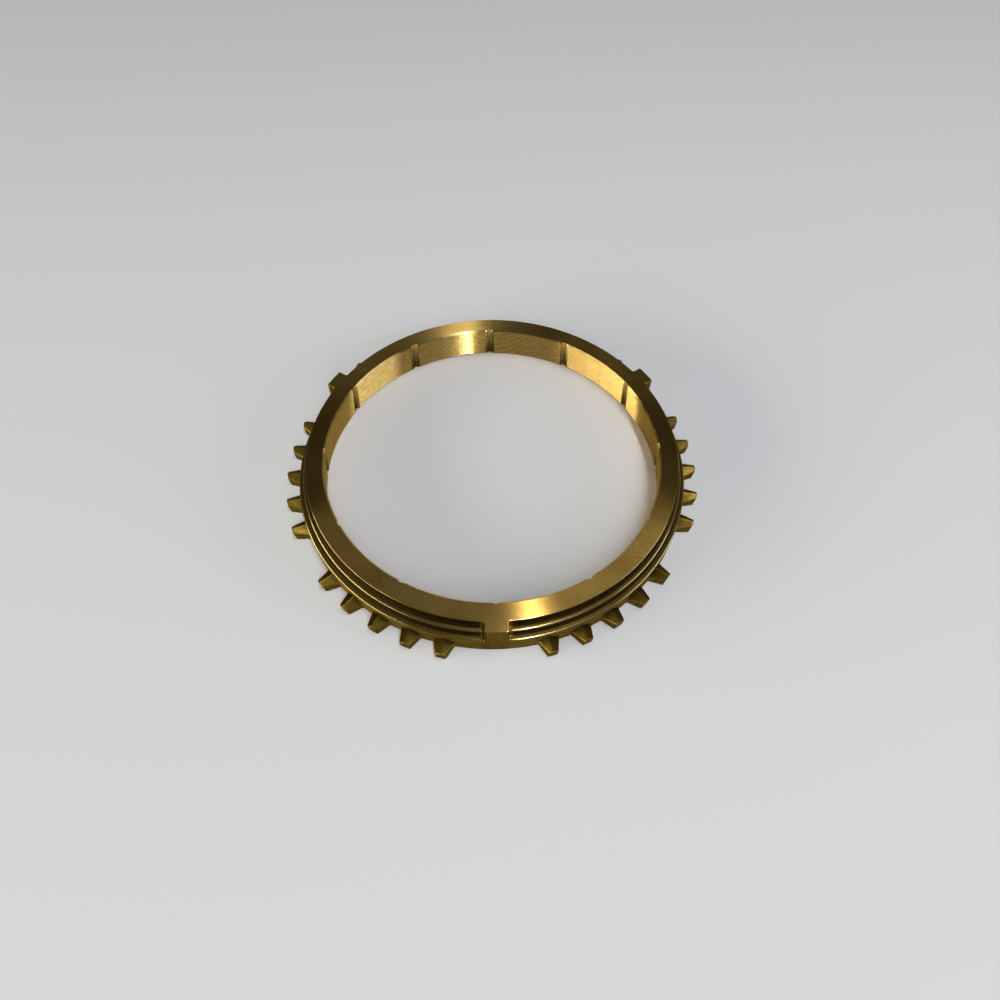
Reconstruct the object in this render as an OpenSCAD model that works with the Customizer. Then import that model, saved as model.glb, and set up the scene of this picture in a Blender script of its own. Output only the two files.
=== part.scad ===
// Synchronizer ring of a manual gearbox: one brass forging, turned, milled and pointed.
// The ring lies on its gear side. Its axis is Z, and one driving lug points along -Y.

/* [Friction cone] */
// Bore diameter at the hub-side face, the small end of the cone
bore_d = 81; // [60:0.5:110]
// Half angle of the cone, which opens towards the gear side
cone_angle = 6.5; // [5:0.1:9]
// Chamfer at both ends of the cone
bore_chamfer = 0.4; // [0.1:0.05:0.6]

/* [Turned body] */
// Overall height along the axis
ring_h = 9.7; // [8.5:0.1:14]
// Radial width of the flat hub-side face
face_w = 4.5; // [3.5:0.1:8]
// Radial width of the shoulder below the outer wall
shoulder_w = 1.1; // [0.8:0.05:2]
// Height of the shoulder above the flange
shoulder_h = 2; // [1:0.1:2.5]
// Radial width of the flange outside the shoulder
flange_w = 1.3; // [0.9:0.05:2.5]
// Thickness of the flange that carries the teeth
flange_t = 4.8; // [4:0.1:5.5]
// Radius on the turned outer edges of the shoulder and the flange
edge_r = 0.35; // [0.1:0.05:0.4]
// Radius on the outer edge of the hub-side face and of the lugs
face_edge_r = 0.15; // [0.05:0.05:0.3]
// Radius in the turned inside corners
corner_r = 0.4; // [0.1:0.05:0.45]

/* [Driving lugs] */
// Number of lugs round the ring
lug_count = 3; // [2:1:4]
// Width of a lug
lug_w = 5.2; // [3:0.1:9]
// Fillet between the sides of a lug and the outer wall
lug_fillet = 0.3; // [0.1:0.1:1.5]

/* [Blocking teeth] */
// Tooth pitches round the full circle
pitch_count = 39; // [33:3:42]
// Radial height of a tooth
tooth_h = 3.5; // [2:0.1:5]
// Width of a tooth where it leaves the rim
tooth_root_w = 4.6; // [3:0.1:5]
// Width of a tooth at its tip
tooth_tip_w = 2; // [1:0.1:2.5]
// Height of the pointing ridge above the gear-side face
ridge_h = 3.4; // [2.8:0.1:3.6]
// Angle between the two pointing faces that meet in the ridge
pointing_angle = 106; // [90:1:125]
// Fillet between a tooth and the rim
tooth_fillet = 0.5; // [0.2:0.05:0.8]
// Draft of the tips, which lean inwards towards the gear side
tip_draft = 6; // [0:0.5:10]

/* [Oil grooves] */
// Number of axial grooves in the cone
groove_count = 12; // [6:1:24]
// Width of a groove
groove_w = 1.5; // [1:0.1:2.5]
// Depth of a groove
groove_depth = 0.55; // [0.3:0.05:0.9]

/* [Hidden] */
$fn = 180;

// Radii of the section, from the cone outwards
bore_top_r = bore_d / 2;
bore_bottom_r = bore_top_r + ring_h * tan(cone_angle);
wall_r = bore_top_r + face_w;
shoulder_r = wall_r + shoulder_w;
rim_r = shoulder_r + flange_w;
tip_r = rim_r + tooth_h;

// Height of the shoulder's flat above the gear-side face
shoulder_z = flange_t + shoulder_h;

// Direction of the first lug, and the angle from one lug and one tooth to the next
first_lug = -90;
lug_step = 360 / lug_count;
pitch = 360 / pitch_count;
// Teeth on each side of a lug: the two pitches at the lug stay bare,
// and so does one that would straddle the middle between two lugs
row_teeth = floor(pitch_count / lug_count / 2) - 1;

// Depth to which lugs and teeth reach into the turned body that carries them
root = 1.5;
// Amount by which a fillet's foot dips below the wall that it runs into,
// and by which a tooth's blank stands past its turned tip
dip = 0.02;
// Reach of a cut past the faces that it opens
past = 1;
// Straight steps in each rounded edge or fillet
steps = 4;

// Points of an arc about a centre, from one angle to another
function arc(centre, r, from, to) =
    [for (i = [0:steps]) let (a = from + (to - from) * i / steps) centre + r * [cos(a), sin(a)]];

// Rounded outer edge of the section, for a wall of radius r below a flat at height z
function outer_edge(r, z, edge) = arc([r - edge, z - edge], edge, 0, 90);

// Rounded inside corner of the section, for a flat at height z that meets a wall of radius r
function inside_corner(r, z) = arc([r + corner_r, z + corner_r], corner_r, 270, 180);

// One half of a plan outline that stands on a round wall and narrows to a straight end,
// with a fillet at its foot
function half_plan(base_r, base_w, end_r, end_w, fillet) =
    let (
        lean = atan2((base_w - end_w) / 2, end_r - base_r),
        along = [cos(lean), -sin(lean)],
        away = [sin(lean), cos(lean)],
        foot = [base_r, base_w / 2] + fillet * away,
        reach = base_r - dip + fillet,
        run = -foot * along + sqrt(pow(foot * along, 2) - foot * foot + reach * reach),
        centre = foot + run * along,
        bearing = atan2(centre.y, centre.x)
    )
    concat(
        [(base_r - root) * [cos(bearing), sin(bearing)]],
        arc(centre, fillet, bearing + 180, 270 - lean),
        [[end_r, end_w / 2]]
    );

// Whole plan outline, mirrored about the X axis
module standing_plan(base_r, base_w, end_r, end_w, fillet) {
    upper = half_plan(base_r, base_w, end_r, end_w, fillet);
    lower = [for (i = [len(upper) - 1:-1:0]) [upper[i].x, -upper[i].y]];
    polygon(concat(upper, lower));
}

// Section of the turned body: cone, hub-side face, outer wall, shoulder and flange
module body_section() {
    lean = bore_chamfer * tan(cone_angle);
    polygon(concat(
        [[bore_bottom_r + bore_chamfer, 0], [rim_r, 0]],
        outer_edge(rim_r, flange_t, edge_r),
        inside_corner(shoulder_r, flange_t),
        outer_edge(shoulder_r, shoulder_z, edge_r),
        inside_corner(wall_r, shoulder_z),
        outer_edge(wall_r, ring_h, face_edge_r),
        [
            [bore_top_r + bore_chamfer, ring_h],
            [bore_top_r + lean, ring_h - bore_chamfer],
            [bore_bottom_r - lean, bore_chamfer]
        ]
    ));
}

// Lug that stands out from the outer wall to the rim, flush with the hub-side face
module lug() {
    intersection() {
        linear_extrude(ring_h) standing_plan(wall_r, lug_w, rim_r + past, lug_w, lug_fillet);
        rotate_extrude() polygon(concat(
            [[wall_r - root - past, 0], [rim_r, 0]],
            outer_edge(rim_r, ring_h, face_edge_r),
            [[wall_r - root - past, ring_h]]
        ));
    }
}

// Tooth with leaning flanks and a drafted tip,
// pointed on its hub side by two faces that meet in a radial ridge
module tooth() {
    roof_w = tooth_root_w;
    roof_drop = roof_w / tan(pointing_angle / 2);
    intersection() {
        linear_extrude(ridge_h) standing_plan(rim_r, tooth_root_w, tip_r + dip, tooth_tip_w, tooth_fillet);
        rotate([90, 0, 90]) linear_extrude(tip_r + past) polygon([
            [-roof_w, ridge_h - roof_drop],
            [-roof_w, -roof_drop],
            [roof_w, -roof_drop],
            [roof_w, ridge_h - roof_drop],
            [0, ridge_h]
        ]);
        rotate_extrude() polygon([
            [rim_r - root - past, 0],
            [tip_r - ridge_h * tan(tip_draft), 0],
            [tip_r, ridge_h],
            [rim_r - root - past, ridge_h]
        ]);
    }
}

// Axial oil groove along the cone
module groove() {
    translate([bore_top_r - groove_w / 2 + groove_depth, 0, ring_h])
        rotate([0, 180 - cone_angle, 0])
            translate([0, 0, -past]) cylinder(d = groove_w, h = ring_h / cos(cone_angle) + 2 * past);
}

// The whole ring
module synchronizer_ring() color("#b58f45") {
    difference() {
        union() {
            rotate_extrude() body_section();
            for (i = [0:lug_count - 1]) rotate(first_lug + i * lug_step) {
                lug();
                for (side = [-1, 1], k = [1:row_teeth]) rotate(side * (k + 0.5) * pitch) tooth();
            }
        }
        for (i = [0:groove_count - 1]) rotate(first_lug + i * 360 / groove_count) groove();
    }
}

synchronizer_ring();
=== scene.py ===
import bisect
import math

import bmesh
import bpy
from mathutils import Matrix, Vector


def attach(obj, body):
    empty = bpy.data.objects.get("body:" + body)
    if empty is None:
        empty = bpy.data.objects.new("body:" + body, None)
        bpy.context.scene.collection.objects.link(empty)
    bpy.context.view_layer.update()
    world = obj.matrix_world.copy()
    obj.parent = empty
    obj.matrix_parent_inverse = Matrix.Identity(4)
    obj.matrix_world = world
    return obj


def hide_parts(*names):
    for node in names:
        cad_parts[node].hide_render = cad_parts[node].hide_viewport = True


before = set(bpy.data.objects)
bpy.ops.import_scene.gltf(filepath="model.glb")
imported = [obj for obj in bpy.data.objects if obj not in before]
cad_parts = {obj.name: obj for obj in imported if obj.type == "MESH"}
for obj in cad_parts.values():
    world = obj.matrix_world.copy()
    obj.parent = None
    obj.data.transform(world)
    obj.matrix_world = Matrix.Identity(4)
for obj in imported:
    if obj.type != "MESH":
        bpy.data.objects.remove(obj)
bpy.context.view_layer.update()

MM = 0.001

# Sizes of the ring, in millimetres and degrees, as the CAD model has them
BORE_R = 40.5
CONE_ANGLE = 6.5
CONE_SLOPE = math.tan(math.radians(CONE_ANGLE))
BORE_CHAMFER = 0.4
RING_H = 9.7
WALL_R = 45.0
SHOULDER_R = 46.1
SHOULDER_Z = 6.8
RIM_R = 47.4
FLANGE_T = 4.8
EDGE_R = 0.35
FACE_EDGE_R = 0.15
CORNER_R = 0.4
FIRST_LUG = -90.0
LUG_COUNT = 3
LUG_W = 5.2
LUG_FILLET = 0.3
PITCH_COUNT = 39
TOOTH_PITCH = 360 / PITCH_COUNT
ROW_TEETH = 5
TOOTH_ROOT_W = 4.6
TOOTH_TIP_W = 2.0
TIP_R = 50.9
DRAFT_ANGLE = 6
TIP_DRAFT = math.tan(math.radians(DRAFT_ANGLE))
RIDGE_H = 3.4
POINTING_ANGLE = 106
ROOF_SLOPE = 1 / math.tan(math.radians(POINTING_ANGLE / 2))
TOOTH_FILLET = 0.5
GROOVE_COUNT = 12
GROOVE_R = 0.75
GROOVE_DEPTH = 0.55
GROOVE_HALF_W = math.sqrt(GROOVE_R ** 2 - (GROOVE_R - GROOVE_DEPTH) ** 2)

# Finer forms: broken edges, the turned thread of the friction cone, and the lips of its grooves
LUG_CORNER = 0.25
SMALLEST_CORNER = 0.02
TOOTH_EDGE = 0.16
TOOTH_CORNER = 0.22
RIDGE_ROUND = 0.1
FOOT_EDGE = 0.15
THREAD_PITCH = 0.55
THREAD_LAND = 0.24
THREAD_DEPTH = 0.14
GROOVE_LIP_W = 0.3
GROOVE_LIP_DEPTH = 0.06

# Steps of the mesh in each rounded edge, flank, half groove and lip
ARC_STEPS = 3
FLANK_STEPS = 2
GROOVE_STEPS = 3
LIP_STEPS = 2
# Widest step round the ring, in degrees
WIDEST_STEP = 0.9
# Places of the points across half the end of a lug or tooth
END_SHARES = (0.0, 0.2, 0.6)
# Sharpest edge that is shaded smooth, and the distance at which points become one
SMOOTH_LIMIT = math.radians(38)
MERGE = 0.002
# Distance and share of the rows of points that keep a flat face flat beside a rounded edge
HOLD = 0.08
HOLD_SHARE = 0.9
# Heights of rows on the bare rim above the low end of a tooth's roof, and distance of rows from its edges
RIM_ROWS = (0.8, 0.4)
RIM_HOLD = 0.1

# Wear over rounded edges, and painted shade in inside corners and on walls: 1 is rubbed bare, -1 is full
# painted shade
EDGE_WEAR = [math.sin(math.pi * i / ARC_STEPS) for i in range(ARC_STEPS + 1)]
STEP_WEAR = (0.3, 1.0, 0.2, -0.3)
CORNER_SHADE = (-0.7, -1.0, -1.0, -0.5)
WALL_SHADE = -1.0
# Painted shade on the rounded lips of an oil groove, at its lower end
LIP_SHADE = -0.9
# Share of the painted shade in an oil groove that is gone at its upper end
GROOVE_SHADE_FADE = 0.6
# Wear at which the rubbed colour and the painted shade start to show, and over which rubbing smooths the
# metal
RUBBED_FROM = 0.2
SHADED_FROM = -0.3
SMOOTHED = (0.1, 0.8)

# Places of the materials in the ring's slots
FACE, CONE, STEPS, TEETH, LUGS, UNDERSIDE = range(6)

# Colours of the brass in linear light, from bare metal to the painted shade in its corners
PALE = (0.76, 0.60, 0.28, 1)
BRASS = (0.63, 0.40, 0.09, 1)
BROWN = (0.42, 0.235, 0.04, 1)
OLIVE = (0.20, 0.15, 0.022, 1)
UMBER = (0.12, 0.07, 0.013, 1)
PAINTED_SHADE = (0.022, 0.013, 0.004, 1)
# Roughness where shade is painted
SHADE_ROUGH = 0.6
# Tints of the metal where it is seen at a low angle
PLAIN_EDGE = (1, 1, 1, 1)
SKIN_EDGE = (0.42, 0.40, 0.44, 1)
CONE_EDGE = (0.55, 0.48, 0.32, 1)
# Stretch of a noise that the roughness follows
ROUGH_SPAN = (0.3, 0.7)
# Turn of the anisotropy that stretches highlights across the turned marks
QUARTER_TURN = 0.25
# Millimetres of radius that one of height stands for in the turned marks
HEIGHT_SHARE = -1.3

# Camera of the photograph, aimed at a point in the floor's plane
CAMERA_TARGET = Vector((1.71, -8.78, 0.0)) * MM
CAMERA_DISTANCE = 167.3 * MM
CAMERA_AZIMUTH = -2.25
CAMERA_ELEVATION = 57.04
CAMERA_ROLL = 0.91
CAMERA_LENS = 24.27
CAMERA_NEAR = 0.01
CAMERA_FAR = 50

# Floor, in metres, and the pale backdrop that the camera sees behind it
FLOOR_SIZE = 1.6
FLOOR_COLOUR = (0.78, 0.775, 0.755, 1)
FLOOR_ROUGH = 0.8
BACKDROP = (0.6, 0.6, 0.6, 1)

# Light of the studio's walls from left to right and of its ceiling towards the middle,
# each over a span of the direction looked in, and the span of height over which one fades into the other
WALL_SPAN = (-0.3, 0.4)
WALL_LIGHT = (0.08, 0.3)
CEILING_SPAN = (0.9, 1.0)
CEILING_LIGHT = (0.04, 0.3)
FADE_SPAN = (0.1, 0.45)

# Strip lamp in front of the ring and above it, in metres, degrees and watts
STRIP_PLACE = (0.338, -1.263, 1.0)
STRIP_WIDTH = 0.045
STRIP_LENGTH = 2.76
STRIP_TURN = 9
STRIP_WATTS = 16

# Colours of the lamps
DAYLIGHT = (0.97, 1.0, 1.05)
COOL = (0.92, 1.0, 1.2)
WARM = (1.0, 0.96, 0.88)


def polar(radius, degrees):
    """Point in the plane at a radius and a direction."""
    angle = math.radians(degrees)
    return Vector((radius * math.cos(angle), radius * math.sin(angle)))


def quarter(start, end):
    """Angles from start to end, in radians, for one rounded edge."""
    return [start + (end - start) * i / ARC_STEPS for i in range(ARC_STEPS + 1)]


def arc_between(centre, radius, start, end):
    """Points of the shorter arc about a centre, from one direction to another."""
    first = math.atan2(start.y, start.x)
    turn = math.remainder(math.atan2(end.y, end.x) - first, math.tau)
    angles = [first + turn * i / ARC_STEPS for i in range(ARC_STEPS + 1)]
    return [centre + radius * Vector((math.cos(a), math.sin(a))) for a in angles]


class Outline:
    """Half the plan of a lug or tooth: points from its middle line out to its foot on a round wall."""

    def __init__(self, base_r, base_w, end_r, end_w, fillet, corner):
        self.base_r = base_r
        self.end_r = end_r
        self.fillet = fillet
        self.corner = corner
        lean = math.atan2((base_w - end_w) / 2, end_r - base_r)
        self.along = Vector((math.cos(lean), -math.sin(lean)))
        self.away = Vector((math.sin(lean), math.cos(lean)))
        self.reach = Vector((base_r, base_w / 2)).dot(self.away)

    def seat(self, offset, radius):
        """Centre of an arc at a distance from the axis and an offset across the flank."""
        return self.away * offset + self.along * math.sqrt(radius * radius - offset * offset)

    def points(self, inset, base_r, end_r):
        """Points of the outline, moved in by an inset, between a wall and an end of given radii."""
        flank = self.reach - inset
        fillet = self.fillet + inset
        corner = max(self.corner - inset, SMALLEST_CORNER)
        corner_at = self.seat(flank - corner, end_r - corner)
        fillet_at = self.seat(flank + fillet, base_r + fillet)
        turn = math.degrees(math.atan2(corner_at.y, corner_at.x))
        end = [polar(end_r, turn * share) for share in END_SHARES]
        tip = arc_between(corner_at, corner, corner_at, self.away)
        foot = arc_between(fillet_at, fillet, -self.away, -fillet_at)
        middle = [tip[-1].lerp(foot[0], i / FLANK_STEPS) for i in range(1, FLANK_STEPS)]
        return end + tip + middle + foot

    def at(self, place, inset=0.0, base_r=None, end_r=None):
        """Point at a signed place along the outline, which may lie between two of its points."""
        row = self.points(inset, base_r or self.base_r, end_r or self.end_r)
        index = min(int(abs(place)), len(row) - 2)
        point = row[index].lerp(row[index + 1], abs(place) - index)
        return Vector((point.x, math.copysign(point.y, place)))

    def places(self):
        """Signed numbers of the points of the whole outline, from foot to foot."""
        last = len(self.points(0.0, self.base_r, self.end_r)) - 1
        return range(-last, last + 1)

    def angle(self, place):
        """Direction in which a place along the outline lies."""
        point = self.at(place)
        return math.degrees(math.atan2(point.y, point.x))

    def place_of(self, degrees):
        """Place along the outline that lies in a direction."""
        last = self.places()[-1]
        angles = [self.angle(place) for place in range(last + 1)]
        index = min(bisect.bisect_right(angles, abs(degrees)), last) - 1
        share = (abs(degrees) - angles[index]) / (angles[index + 1] - angles[index])
        return math.copysign(index + share, degrees)


LUG = Outline(WALL_R, LUG_W, RIM_R, LUG_W, LUG_FILLET, LUG_CORNER)
TOOTH = Outline(RIM_R, TOOTH_ROOT_W, TIP_R, TOOTH_TIP_W, TOOTH_FILLET, TOOTH_CORNER)


def features():
    """Middle direction and outline of every lug and tooth."""
    for i in range(LUG_COUNT):
        lug = FIRST_LUG + i * 360 / LUG_COUNT
        yield lug, LUG
        for side in (-1, 1):
            for k in range(1, ROW_TEETH + 1):
                yield lug + side * (k + 0.5) * TOOTH_PITCH, TOOTH


class Column:
    """One section of the ring: its direction, and the lug or tooth that it passes through."""

    def __init__(self, direction, middle=0.0, outline=None, place=0.0):
        self.direction = direction % 360
        self.middle = middle
        self.outline = outline
        self.place = place
        self.groove = groove_depth(direction)

    def turned(self, point):
        """A point of the outline, turned to the lug's or tooth's place on the ring."""
        angle = math.radians(self.middle)
        c, s = math.cos(angle), math.sin(angle)
        return Vector((c * point.x - s * point.y, s * point.x + c * point.y))

    def radial(self, radius, height):
        """Point of the section at a radius and a height."""
        return polar(radius, self.direction).to_3d() + Vector((0, 0, height))

    def within(self, outline, margin):
        """Whether the strip after this column lies on a lug or tooth, less some places at each foot."""
        limit = outline.places()[-1] - margin
        return self.outline is outline and -limit <= self.place < limit


def groove_depth(direction):
    """Depth of the oil groove and its rounded lips at a direction, or zero between grooves."""
    step = 360 / GROOVE_COUNT
    across = BORE_R * abs(math.radians(math.remainder(direction - FIRST_LUG, step)))
    lip = GROOVE_LIP_DEPTH * max(0.0, 1 - max(0.0, across - GROOVE_HALF_W) / GROOVE_LIP_W) ** 2
    if across >= GROOVE_HALF_W:
        return lip
    return max(lip, math.sqrt(GROOVE_R ** 2 - across ** 2) - GROOVE_R + GROOVE_DEPTH)


def groove_directions():
    """Directions of the columns that shape the oil grooves and their lips."""
    half = [GROOVE_HALF_W * math.sin(math.pi / 2 * k / GROOVE_STEPS) for k in range(GROOVE_STEPS + 1)]
    half += [GROOVE_HALF_W + GROOVE_LIP_W * k / LIP_STEPS for k in range(1, LIP_STEPS + 1)]
    for i in range(GROOVE_COUNT):
        middle = FIRST_LUG + i * 360 / GROOVE_COUNT
        for across in half[:0:-1]:
            yield middle - math.degrees(across / BORE_R)
        for across in half:
            yield middle + math.degrees(across / BORE_R)


def column_at(direction):
    """Column in a direction that is set by no outline of its own."""
    for middle, outline in features():
        turn = math.remainder(direction - middle, 360)
        if abs(turn) < outline.angle(outline.places()[-1]):
            return Column(direction, middle, outline, outline.place_of(turn))
    return Column(direction)


def make_columns():
    """All sections of the ring in order, none further from the next than the widest step."""
    columns = []
    for middle, outline in features():
        columns += [Column(middle + outline.angle(p), middle, outline, p) for p in outline.places()]
    columns += [column_at(direction) for direction in groove_directions()]
    columns.sort(key=lambda column: column.direction)
    filled = []
    for column, following in zip(columns, columns[1:] + columns[:1]):
        filled.append(column)
        gap = (following.direction - column.direction) % 360
        pieces = math.ceil(gap / WIDEST_STEP)
        filled += [column_at(column.direction + gap * i / pieces) for i in range(1, pieces)]
    return filled


def thread_points():
    """Heights and depths of the V grooves that are turned into the cone, from its foot up."""
    run = RING_H - 2 * BORE_CHAMFER
    turns = int(run / THREAD_PITCH)
    start = BORE_CHAMFER + (run - turns * THREAD_PITCH + THREAD_LAND) / 2
    for i in range(turns):
        low = start + i * THREAD_PITCH
        width = THREAD_PITCH - THREAD_LAND
        yield low, 0.0
        yield low + width / 2, THREAD_DEPTH
        yield low + width, 0.0


def bore_r(height):
    """Radius of the cone at a height."""
    return BORE_R + (RING_H - height) * CONE_SLOPE


def bore_points(column):
    """Cone from its foot up, with its thread and oil groove, each point with its painted shade, darker
    towards the lower end of a groove.
    """
    heights = [(0, BORE_CHAMFER), (BORE_CHAMFER, 0)]
    heights += thread_points()
    heights += [(RING_H - BORE_CHAMFER, 0), (RING_H, BORE_CHAMFER)]
    for height, depth in heights:
        deepest = max(depth, column.groove)
        # Painted shade in the oil grooves and on their lips, darkest at their lower ends
        lip_shade = LIP_SHADE if column.groove else 0
        groove_shade = min(lip_shade, -deepest / GROOVE_DEPTH) * (1 - GROOVE_SHADE_FADE * (height / RING_H) ** 2)
        inside = BORE_CHAMFER < height < RING_H - BORE_CHAMFER
        yield column.radial(bore_r(height) + deepest, height), groove_shade if inside else 0


def outer_point(column, inset, height):
    """Point on the outline of the hub-side face and its lugs, moved in by an inset."""
    if column.outline is LUG:
        point = column.turned(LUG.at(column.place, inset, WALL_R - inset, RIM_R - inset))
    else:
        point = polar(WALL_R - inset, column.direction)
    return point.to_3d() + Vector((0, 0, height))


def face_points(column):
    """Hub-side face, from its middle out to its rounded edge."""
    yield column.radial((BORE_R + WALL_R) / 2, RING_H), 0
    yield outer_point(column, FACE_EDGE_R + HOLD, RING_H), 0
    yield outer_point(column, FACE_EDGE_R, RING_H), STEP_WEAR[0]


def face_edge_points(column):
    """Rounded edge of the hub-side face and its lugs."""
    for angle, wear_and_shade in list(zip(quarter(math.pi / 2, 0), STEP_WEAR))[1:]:
        inset = FACE_EDGE_R * (1 - math.cos(angle))
        yield outer_point(column, inset, RING_H - FACE_EDGE_R * (1 - math.sin(angle))), wear_and_shade


def held(first, last, wear_and_shade):
    """Two places near the ends of a flat stretch of the section, which keep it flat."""
    for share in (1 - HOLD_SHARE, HOLD_SHARE):
        yield tuple(a + (b - a) * share for a, b in zip(first[:2], last[:2])) + (wear_and_shade,)


def step_profile():
    """Radius, height and wear of the two turned steps, with painted shade on walls and corners, from the
    outer wall down to the rim.
    """
    above = (WALL_R, RING_H - FACE_EDGE_R)
    for inner, outer, height in ((WALL_R, SHOULDER_R, SHOULDER_Z), (SHOULDER_R, RIM_R, FLANGE_T)):
        corner = []
        for angle, wear_and_shade in zip(quarter(math.pi, 1.5 * math.pi), CORNER_SHADE):
            across, up = CORNER_R * (1 + math.cos(angle)), CORNER_R * (1 + math.sin(angle))
            corner.append((inner + across, height + up, wear_and_shade))
        edge = []
        for angle, wear_and_shade in zip(quarter(math.pi / 2, 0), STEP_WEAR):
            across, down = EDGE_R * (1 - math.cos(angle)), EDGE_R * (1 - math.sin(angle))
            edge.append((outer - across, height - down, wear_and_shade))
        # The walls and inside corners carry painted shade
        yield from held(above, corner[0], WALL_SHADE)
        yield from corner
        yield from held(corner[-1], edge[0], 0)
        yield from edge
        above = edge[-1]
    yield RIM_R, FLANGE_T - EDGE_R - HOLD, 0


def step_points(column):
    """Turned steps of the outer wall, or the side of a lug that stands before them."""
    for radius, height, wear_and_shade in step_profile():
        if column.outline is LUG:
            point = column.turned(LUG.at(column.place))
            yield (point * max(radius / point.length, 1)).to_3d() + Vector((0, 0, height)), 0
        else:
            yield column.radial(radius, height), wear_and_shade


def roof(across):
    """Height of the two pointing faces at a distance from a tooth's ridge."""
    return RIDGE_H - ROOF_SLOPE * (math.hypot(across, RIDGE_ROUND) - RIDGE_ROUND)


def tip_r(height):
    """Radius of the drafted tooth tips at a height."""
    return TIP_R - TIP_DRAFT * (RIDGE_H - height)


def tooth_points(column):
    """Roof, broken edge, flank and foot of a tooth. The wear of its edge and the painted shade at its
    root fade out along its fillets.
    """
    def place(inset, height, base_r):
        return TOOTH.at(column.place, inset, base_r, tip_r(height) - inset)

    def lifted(point, height):
        return column.turned(point).to_3d() + Vector((0, 0, height))

    across = RIM_R * math.sin(math.radians(math.remainder(column.direction - column.middle, 360)))
    root = column.radial(RIM_R, roof(across))
    rim = []
    for angle in quarter(math.pi / 2, 0):
        inset = TOOTH_EDGE * (1 - math.cos(angle))
        point = place(inset, RIDGE_H, RIM_R)
        height = roof(point.y) - TOOTH_EDGE * (1 - math.sin(angle))
        rim.append(lifted(place(inset, height, RIM_R), height))
    foot = []
    for angle in quarter(0, math.pi / 2):
        inset = FOOT_EDGE * (1 - math.cos(angle))
        height = FOOT_EDGE * (1 - math.sin(angle))
        foot.append(lifted(place(inset, height, RIM_R - inset), height))
    roof_hold = root.lerp(rim[0], HOLD_SHARE)
    flank_holds = [rim[-1].lerp(foot[0], share) for share in (1 - HOLD_SHARE, HOLD_SHARE)]
    fade = min(1, (TOOTH.places()[-1] - abs(column.place)) / ARC_STEPS)
    # Painted shade where the roof meets the rim, and wear on its rounded edge
    roof_wear_and_shade = [wear_and_shade * fade for wear_and_shade in [CORNER_SHADE[0], 0] + EDGE_WEAR]
    return zip([root, roof_hold] + rim + flank_holds + foot, roof_wear_and_shade + [0, 0] + EDGE_WEAR)


def rim_points(column):
    """Bare rim, with as many points as a tooth has."""
    across = TOOTH.at(TOOTH.places()[-1]).y
    top = roof(across)
    heights = [top + row for row in RIM_ROWS]
    heights += [top - TOOTH_EDGE * (1 - math.sin(angle)) for angle in quarter(math.pi / 2, 0)]
    heights += [heights[-1] - RIM_HOLD, FOOT_EDGE + RIM_HOLD]
    for height in heights:
        yield column.radial(RIM_R, height), 0
    for angle, wear_and_shade in zip(quarter(0, math.pi / 2), EDGE_WEAR):
        radius = RIM_R - FOOT_EDGE * (1 - math.cos(angle))
        yield column.radial(radius, FOOT_EDGE * (1 - math.sin(angle))), wear_and_shade


def section(column):
    """Points round one section, each with its wear and painted shade and the material of the strip that
    starts at it.
    """
    rim = tooth_points(column) if column.outline is TOOTH else rim_points(column)
    side = LUGS if column.within(LUG, 0) else STEPS
    rim_zone = TEETH if column.within(TOOTH, ARC_STEPS) else side
    foot = (column.radial((RIM_R + bore_r(0)) / 2, 0), 0)
    parts = (
        (bore_points(column), CONE, FACE),
        (face_points(column), FACE, FACE),
        (face_edge_points(column), side, side),
        (step_points(column), side, side),
        (rim, rim_zone, UNDERSIDE),
        ([foot], UNDERSIDE, UNDERSIDE),
    )
    rows = []
    for points, zone, zone_after in parts:
        rows += [(point, wear_and_shade, zone) for point, wear_and_shade in points]
        rows[-1] = rows[-1][:2] + (zone_after,)
    return rows


def make_ring():
    """Closed mesh of the ring: its sections joined strip by strip, with the wear and painted shade of
    each point.
    """
    sections = [section(column) for column in make_columns()]
    mesh = bmesh.new()
    # Wear on rubbed edges, and painted shade in corners, on walls and in the oil grooves, for each point
    layer = mesh.verts.layers.float.new("wear_and_shade")
    grid = []
    for rows in sections:
        grid.append([mesh.verts.new(point * MM) for point, wear_and_shade, zone in rows])
        for vert, (point, wear_and_shade, zone) in zip(grid[-1], rows):
            vert[layer] = wear_and_shade
    for rows, here, following in zip(sections, grid, grid[1:] + grid[:1]):
        for i, (point, wear_and_shade, zone) in enumerate(rows):
            j = (i + 1) % len(rows)
            face = mesh.faces.new((here[i], following[i], following[j], here[j]))
            face.material_index = zone
            face.smooth = True
    bmesh.ops.remove_doubles(mesh, verts=mesh.verts, dist=MERGE * MM)
    bmesh.ops.dissolve_degenerate(mesh, edges=mesh.edges, dist=MERGE * MM)
    bmesh.ops.recalc_face_normals(mesh, faces=mesh.faces)
    for edge in mesh.edges:
        edge.smooth = edge.calc_face_angle(0) < SMOOTH_LIMIT
    data = bpy.data.meshes.new("ring")
    mesh.to_mesh(data)
    mesh.free()
    ring = bpy.data.objects.new("ring", data)
    bpy.context.scene.collection.objects.link(ring)
    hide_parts("synchronizer_ring")
    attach(ring, "root")
    return ring


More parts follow.
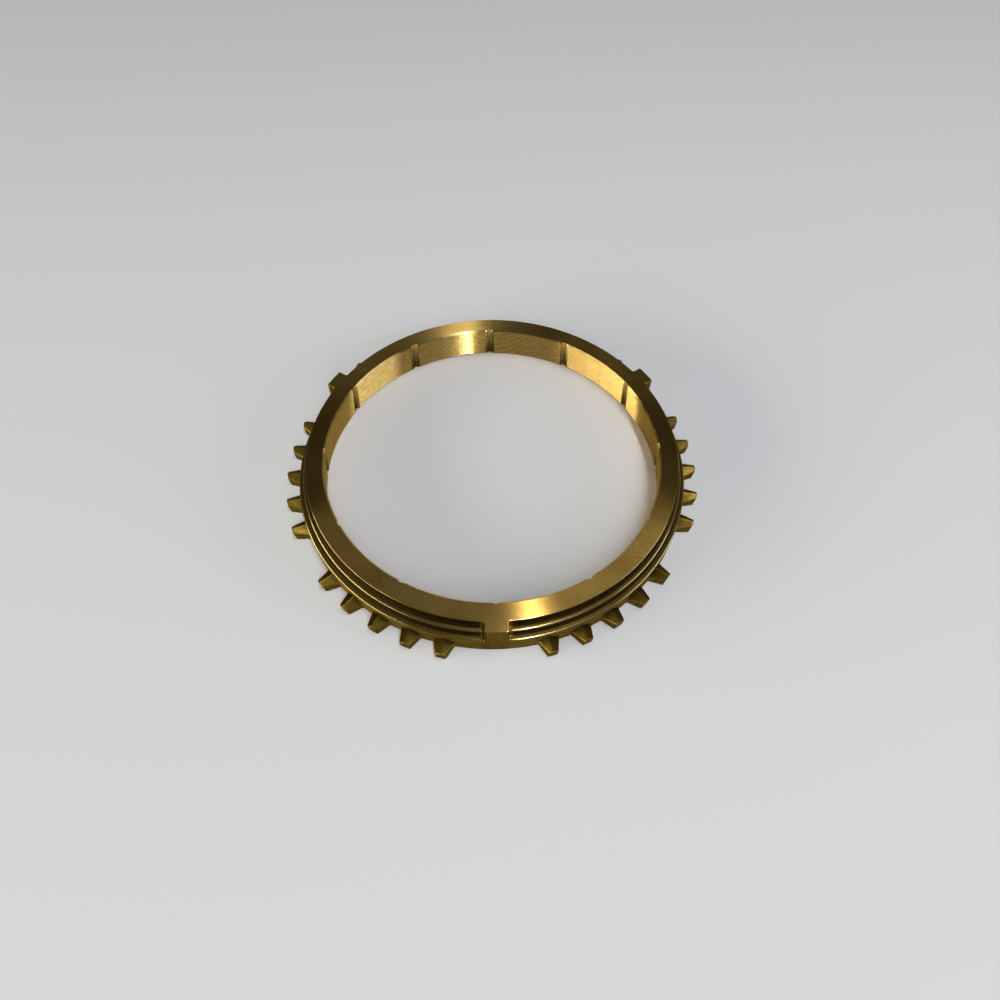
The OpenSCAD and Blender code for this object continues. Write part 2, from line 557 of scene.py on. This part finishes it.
class Finish:
    """One finish of the brass: a metal shader and the nodes that vary it over the surface."""

    def __init__(self, name, anisotropic, edge=PLAIN_EDGE):
        self.material = bpy.data.materials.new(name)
        self.material.use_nodes = True
        self.nodes = self.material.node_tree.nodes
        self.links = self.material.node_tree.links
        self.shader = self.nodes["Principled BSDF"].inputs
        self.shader["Metallic"].default_value = 1
        self.shader["Anisotropic"].default_value = anisotropic
        self.shader["Anisotropic Rotation"].default_value = QUARTER_TURN
        self.shader["Specular Tint"].default_value = edge
        metres = self.node("TexCoord")["Object"]
        self.place = self.node("VectorMath", metres, [1 / MM] * 3, operation="MULTIPLY")[0]
        round_axis = self.node("VectorMath", self.place, [0, 0, 1], operation="CROSS_PRODUCT")[0]
        self.links.new(round_axis, self.shader["Tangent"])
        # Wear of each point, with painted shade where it is below zero
        self.wear_and_shade = self.node("Attribute", attribute_name="wear_and_shade")["Fac"]

    def node(self, kind, *values, **settings):
        """Outputs of a new node with its settings, and its inputs in order."""
        node = self.nodes.new("ShaderNode" + kind)
        for name, setting in settings.items():
            setattr(node, name, setting)
        for socket, value in zip(node.inputs, values):
            if isinstance(value, bpy.types.NodeSocket):
                self.links.new(value, socket)
            else:
                socket.default_value = value
        return node.outputs

    def scaled(self, x, y, z):
        """Position on the ring in millimetres, stretched along the axes."""
        return self.node("VectorMath", self.place, [x, y, z], operation="MULTIPLY")[0]

    def lathe(self, along, across):
        """Position for marks round the axis, in cells per radian along and per millimetre across."""
        flat = self.scaled(1, 1, 0)
        turn = self.node("VectorMath", flat, operation="NORMALIZE")[0]
        radius = self.node("VectorMath", flat, operation="LENGTH")["Value"]
        height = self.node("SeparateXYZ", self.place)["Z"]
        profile = self.node("Math", height, HEIGHT_SHARE, radius, operation="MULTIPLY_ADD")[0]
        third = self.node("Math", profile, across, operation="MULTIPLY")[0]
        lift = self.node("CombineXYZ", 0, 0, third)[0]
        return self.node("VectorMath", turn, [along] * 3, lift, operation="MULTIPLY_ADD")[0]

    def noise(self, position, detail):
        """Noise with one cell to each unit of a position."""
        return self.node("TexNoise", position, 0, 1, detail)["Fac"]

    def ramp(self, value, start, end, low=0.0, high=1.0):
        """A stretch of a value, from start to end, spread from low to high."""
        return self.node("MapRange", value, start, end, low, high)[0]

    def mix(self, share, first, second):
        """First colour, with a share of the second."""
        return self.node("MixRGB", share, first, second)[0]

    def paint(self, colour, rubbed, share):
        """Colour of the metal, with some of another on its rubbed edges and painted shade in its corners
        and hollows.
        """
        worn = self.mix(self.ramp(self.wear_and_shade, RUBBED_FROM, 1, high=share), colour, rubbed)
        shaded = self.mix(self.ramp(self.wear_and_shade, SHADED_FROM, -1), worn, PAINTED_SHADE)
        self.links.new(shaded, self.shader["Base Color"])

    def polish(self, value, smooth, rough, rubbed=1.0):
        """Roughness between two values, with a share of it on the rubbed edges and more where shade is
        painted.
        """
        flat = self.ramp(value, *ROUGH_SPAN, smooth, rough)
        share = self.ramp(self.wear_and_shade, *SMOOTHED, 1, rubbed)
        bare = self.node("Math", flat, share, operation="MULTIPLY")[0]
        shaded = self.ramp(self.wear_and_shade, SHADED_FROM, -1, high=SHADE_ROUGH)
        self.links.new(self.node("Math", bare, shaded, operation="MAXIMUM")[0], self.shader["Roughness"])

    def emboss(self, height, depth):
        """Relief of a depth in millimetres."""
        bump = self.nodes.new("ShaderNodeBump")
        bump.inputs["Distance"].default_value = depth * MM
        self.links.new(height, bump.inputs["Height"])
        self.links.new(bump.outputs["Normal"], self.shader["Normal"])


def turned_face():
    """Face turned with a fine feed: close rings, and a brown film that came with age."""
    finish = Finish("turned face", anisotropic=1.0)
    rings = finish.noise(finish.lathe(along=1.5, across=4), detail=3)
    film = finish.noise(finish.scaled(0.09, 0.09, 0.09), detail=4)
    brass = finish.mix(finish.ramp(film, 0.35, 0.75), BRASS, BROWN)
    colour = finish.mix(finish.ramp(rings, 0.35, 0.7, high=0.2), brass, PALE)
    finish.paint(colour, rubbed=BRASS, share=0.5)
    finish.polish(rings, smooth=0.27, rough=0.24)
    finish.emboss(rings, depth=0.002)
    return finish.material


def friction_cone():
    """Threaded cone: lands polished in patches by the mating cone, and painted shade in the oil grooves,
    deepest at their lower ends.
    """
    finish = Finish("friction cone", anisotropic=1.0, edge=CONE_EDGE)
    patches = finish.noise(finish.lathe(along=22, across=0.7), detail=4)
    grain = finish.noise(finish.lathe(along=40, across=1.2), detail=3)
    brass = finish.mix(finish.ramp(patches, 0.35, 0.7, high=0.6), BRASS, PALE)
    colour = finish.mix(finish.ramp(grain, 0.4, 0.8, high=0.35), brass, BROWN)
    finish.paint(colour, rubbed=PALE, share=0.7)
    finish.polish(grain, smooth=0.22, rough=0.28)
    finish.emboss(grain, depth=0.0004)
    return finish.material


def turned_steps():
    """Smooth turned walls and ledges under a dark oil film, rubbed bare on their edges, with painted
    shade on the walls and in the inside corners.
    """
    finish = Finish("turned steps", anisotropic=0.7, edge=SKIN_EDGE)
    rings = finish.noise(finish.lathe(along=1.5, across=3), detail=3)
    film = finish.noise(finish.lathe(along=9, across=0.5), detail=4)
    skin = finish.mix(finish.ramp(film, 0.3, 0.7, low=0.4), OLIVE, UMBER)
    colour = finish.mix(finish.ramp(rings, 0.4, 0.7, high=0.1), skin, BROWN)
    finish.paint(colour, rubbed=PALE, share=0.8)
    finish.polish(film, smooth=0.55, rough=0.65, rubbed=0.3)
    finish.emboss(rings, depth=0.0003)
    return finish.material


def pointed_teeth():
    """Forged and pointed teeth, olive and slightly uneven."""
    finish = Finish("pointed teeth", anisotropic=0.0, edge=SKIN_EDGE)
    patches = finish.noise(finish.scaled(0.8, 0.8, 0.8), detail=4)
    pits = finish.noise(finish.scaled(3, 3, 3), detail=3)
    skin = finish.mix(finish.ramp(patches, 0.35, 0.65, low=0.3), OLIVE, UMBER)
    colour = finish.mix(finish.ramp(pits, 0.4, 0.75, high=0.3), skin, BROWN)
    finish.paint(colour, rubbed=BROWN, share=0.3)
    finish.polish(patches, smooth=0.36, rough=0.46)
    finish.emboss(pits, depth=0.01)
    return finish.material


def milled_lugs():
    """Ends and sides of the lugs, with the upright lines of the cutter."""
    finish = Finish("milled lugs", anisotropic=0.0, edge=SKIN_EDGE)
    lines = finish.noise(finish.scaled(4, 4, 0.15), detail=3)
    film = finish.noise(finish.scaled(0.5, 0.5, 0.5), detail=3)
    skin = finish.mix(finish.ramp(film, 0.3, 0.7, low=0.8), BROWN, OLIVE)
    colour = finish.mix(finish.ramp(lines, 0.35, 0.65), skin, UMBER)
    finish.paint(colour, rubbed=BROWN, share=0.3)
    finish.polish(lines, smooth=0.26, rough=0.38)
    finish.emboss(lines, depth=0.01)
    return finish.material


def gear_side():
    """Flat gear-side face, turned with a coarser feed."""
    finish = Finish("gear side", anisotropic=0.9)
    rings = finish.noise(finish.lathe(along=1.5, across=2.5), detail=3)
    film = finish.noise(finish.scaled(0.12, 0.12, 0.12), detail=4)
    brass = finish.mix(finish.ramp(film, 0.35, 0.7), BRASS, BROWN)
    colour = finish.mix(finish.ramp(rings, 0.4, 0.7, high=0.4), brass, UMBER)
    finish.paint(colour, rubbed=PALE, share=0.5)
    finish.polish(rings, smooth=0.3, rough=0.4)
    finish.emboss(rings, depth=0.008)
    return finish.material


def make_camera():
    """Camera at the photograph's place."""
    data = bpy.data.cameras.new("camera")
    data.lens = CAMERA_LENS
    data.clip_start = CAMERA_NEAR
    data.clip_end = CAMERA_FAR
    camera = bpy.data.objects.new("camera", data)
    bpy.context.scene.collection.objects.link(camera)
    azimuth = math.radians(CAMERA_AZIMUTH)
    elevation = math.radians(CAMERA_ELEVATION)
    back = Vector((
        math.sin(azimuth) * math.cos(elevation),
        -math.cos(azimuth) * math.cos(elevation),
        math.sin(elevation),
    ))
    aim = (-back).to_track_quat("-Z", "Y").to_matrix().to_4x4()
    roll = Matrix.Rotation(math.radians(CAMERA_ROLL), 4, "Z")
    camera.matrix_world = Matrix.Translation(CAMERA_TARGET + back * CAMERA_DISTANCE) @ aim @ roll
    bpy.context.scene.camera = camera


def make_floor():
    """Plain pale floor that the ring lies on."""
    bpy.ops.mesh.primitive_plane_add(size=FLOOR_SIZE)
    floor = bpy.context.object
    floor.name = "floor"
    material = bpy.data.materials.new("paper")
    material.use_nodes = True
    shader = material.node_tree.nodes["Principled BSDF"]
    shader.inputs["Base Color"].default_value = FLOOR_COLOUR
    shader.inputs["Roughness"].default_value = FLOOR_ROUGH
    floor.data.materials.append(material)


def make_lamp(name, width, length, watts, colour):
    """Rectangular lamp that shines down from the origin."""
    data = bpy.data.lights.new(name, "AREA")
    data.energy = watts
    data.shape = "RECTANGLE"
    data.size = width
    data.size_y = length
    data.color = colour
    lamp = bpy.data.objects.new(name, data)
    bpy.context.scene.collection.objects.link(lamp)
    return lamp


def make_soft_box(name, azimuth, elevation, width, height, watts, colour):
    """Lamp a metre from the ring, aimed at it."""
    lamp = make_lamp(name, width, height, watts, colour)
    level = polar(math.cos(math.radians(elevation)), azimuth)
    lamp.location = (level.x, level.y, math.sin(math.radians(elevation)))
    lamp.rotation_euler = (-lamp.location).to_track_quat("-Z", "Y").to_euler()


def make_strip():
    """Long narrow lamp, which makes the bright fans on the turned faces."""
    lamp = make_lamp("strip", STRIP_WIDTH, STRIP_LENGTH, STRIP_WATTS, DAYLIGHT)
    lamp.location = STRIP_PLACE
    lamp.rotation_euler = (0, 0, math.radians(STRIP_TURN))


def make_world():
    """Studio with pale walls low down, darker on the left, and a dark ceiling that is lit in its middle.

    The camera sees a plain backdrop in its place.
    """
    world = bpy.data.worlds.new("studio")
    bpy.context.scene.world = world
    world.use_nodes = True
    nodes = world.node_tree.nodes
    links = world.node_tree.links
    coordinate = nodes.new("ShaderNodeTexCoord")
    split = nodes.new("ShaderNodeSeparateXYZ")
    links.new(coordinate.outputs["Generated"], split.inputs["Vector"])
    walls = nodes.new("ShaderNodeMapRange")
    ceiling = nodes.new("ShaderNodeMapRange")
    fade = nodes.new("ShaderNodeMapRange")
    for node, span in ((walls, WALL_SPAN), (ceiling, CEILING_SPAN), (fade, FADE_SPAN)):
        node.inputs["From Min"].default_value, node.inputs["From Max"].default_value = span
    for node, light in ((walls, WALL_LIGHT), (ceiling, CEILING_LIGHT)):
        node.inputs["To Min"].default_value, node.inputs["To Max"].default_value = light
    links.new(split.outputs["X"], walls.inputs["Value"])
    links.new(split.outputs["Z"], ceiling.inputs["Value"])
    links.new(split.outputs["Z"], fade.inputs["Value"])
    links.new(walls.outputs["Result"], fade.inputs["To Min"])
    links.new(ceiling.outputs["Result"], fade.inputs["To Max"])
    seen = nodes.new("ShaderNodeMixRGB")
    seen.inputs["Color2"].default_value = BACKDROP
    links.new(nodes.new("ShaderNodeLightPath").outputs["Is Camera Ray"], seen.inputs["Fac"])
    links.new(fade.outputs["Result"], seen.inputs["Color1"])
    links.new(seen.outputs["Color"], nodes["Background"].inputs["Color"])


make_camera()
make_floor()
make_world()
make_strip()
make_soft_box("left", azimuth=198, elevation=10, width=1.05, height=0.34, watts=10.6, colour=WARM)
make_soft_box("right", azimuth=-13, elevation=16, width=0.6, height=0.45, watts=2.4, colour=COOL)
make_soft_box("back", azimuth=92, elevation=42, width=0.03, height=0.25, watts=0.12, colour=COOL)
make_soft_box("high", azimuth=30, elevation=62, width=0.3, height=0.5, watts=0.38, colour=WARM)

bpy.context.scene.view_settings.view_transform = "Standard"

ring = make_ring()
for finish in (turned_face, friction_cone, turned_steps, pointed_teeth, milled_lugs, gear_side):
    ring.data.materials.append(finish())
